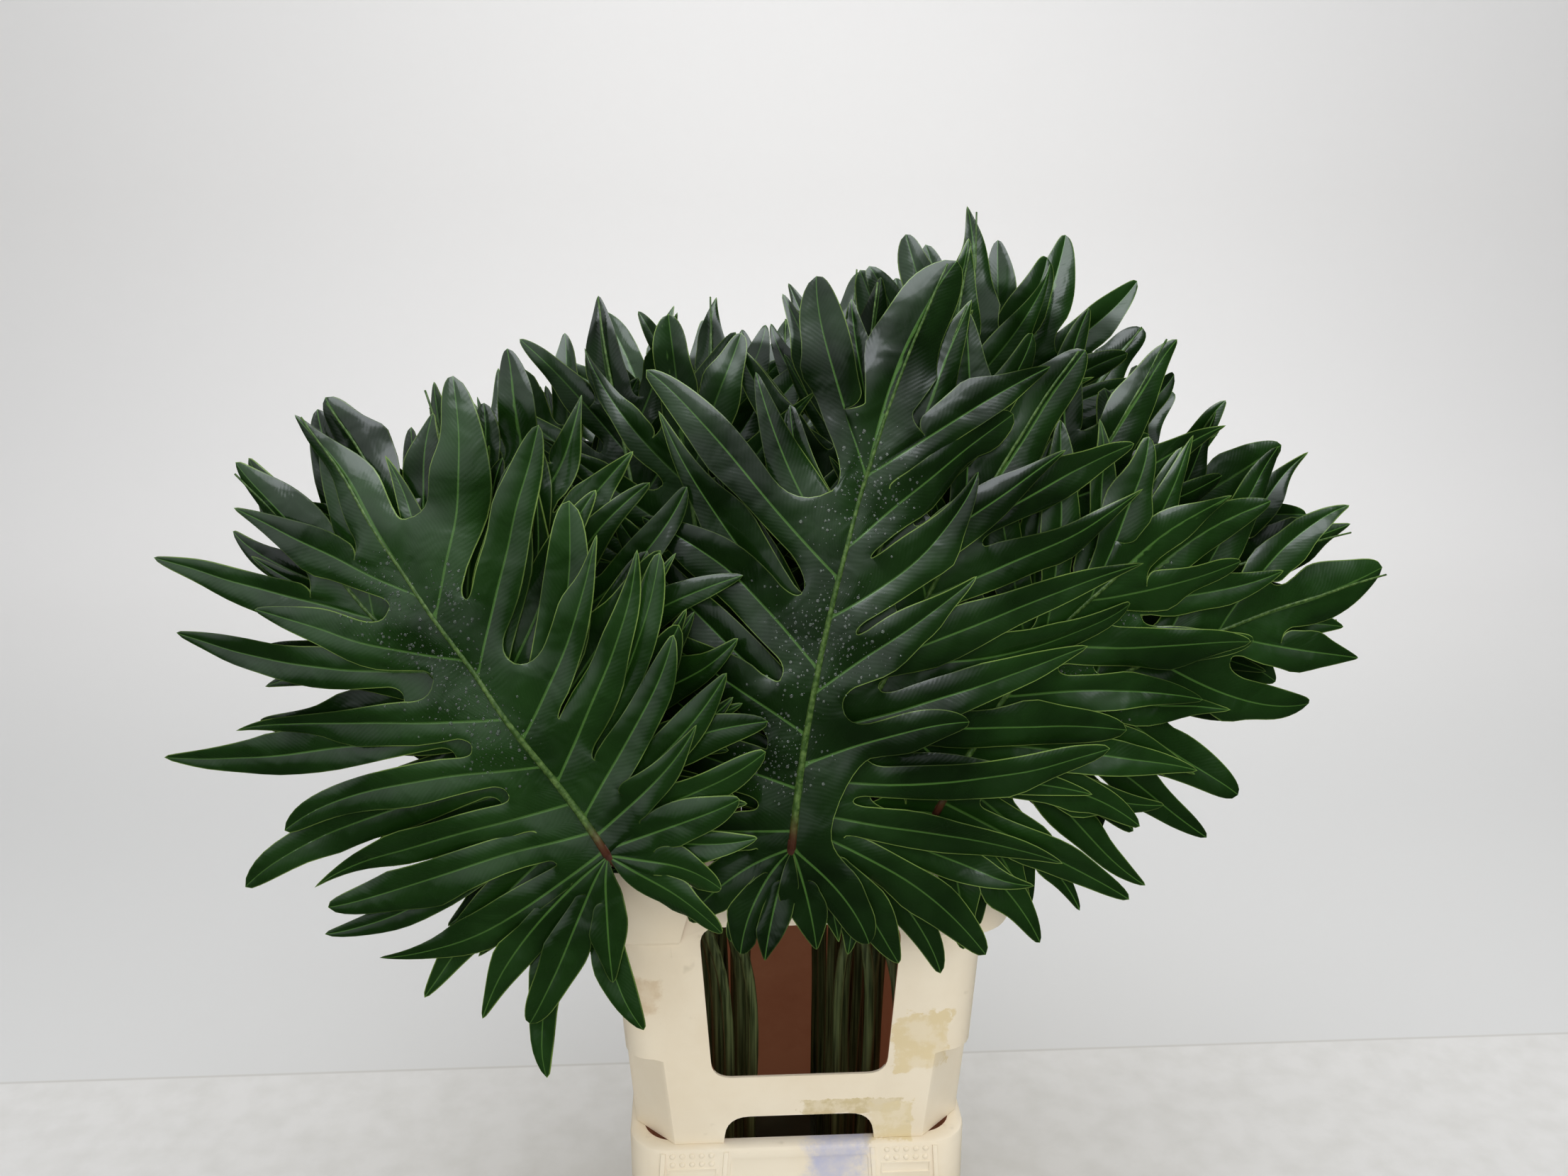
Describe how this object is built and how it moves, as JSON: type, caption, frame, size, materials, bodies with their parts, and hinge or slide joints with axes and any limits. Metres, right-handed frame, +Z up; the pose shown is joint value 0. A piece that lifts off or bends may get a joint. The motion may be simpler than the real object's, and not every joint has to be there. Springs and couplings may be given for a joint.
{
  "type": "bunch of cut xanadu philodendron leaves in a flower bucket",
  "caption": "Deep-lobed glossy green leaves on long stalks, standing in water in a rectangular flower bucket with a windowed collar on its rim.",
  "frame": {"origin": "middle of the bucket's underside, on the surface it stands on", "axes": "+Z up, the leaves' display side towards -Y, +X to the right as the display side is seen; the bucket's short sides face -Y and +Y"},
  "size_m": [1.0312, 0.7204, 1.084],
  "materials": {
    "cream_plastic": "slightly worn, satin",
    "leaf": "glossy leaf with a yellow-green midrib and margin",
    "water": "still, slightly cloudy"
  },
  "bodies": {
    "root": {"bucket": "cream_plastic", "collar": "cream_plastic", "water": "water", "leaf_left_1": "leaf", "leaf_left_2": "leaf", "leaf_left_3": "leaf", "leaf_left_4": "leaf", "leaf_left_5": "leaf", "leaf_left_6": "leaf", "leaf_centre_1": "leaf", "leaf_centre_2": "leaf", "leaf_centre_3": "leaf", "leaf_right_1": "leaf", "leaf_right_2": "leaf", "leaf_right_3": "leaf", "leaf_right_4": "leaf", "leaf_centre_4": "leaf", "leaf_centre_5": "leaf", "leaf_centre_6": "leaf", "leaf_right_5": "leaf", "leaf_right_6": "leaf", "leaf_right_7": "leaf", "leaf_upper_left_1": "leaf", "leaf_upper_right_1": "leaf", "leaf_upper_left_2": "leaf", "leaf_upper_right_2": "leaf", "leaf_upper_left_3": "leaf", "leaf_upper_right_3": "leaf", "leaf_upper_left_4": "leaf", "leaf_upper_right_4": "leaf", "leaf_upper_left_5": "leaf", "leaf_upper_right_5": "leaf", "leaf_back_1": "leaf", "leaf_back_2": "leaf", "leaf_back_3": "leaf", "leaf_back_4": "leaf", "leaf_back_5": "leaf"}
  },
  "joints": []
}
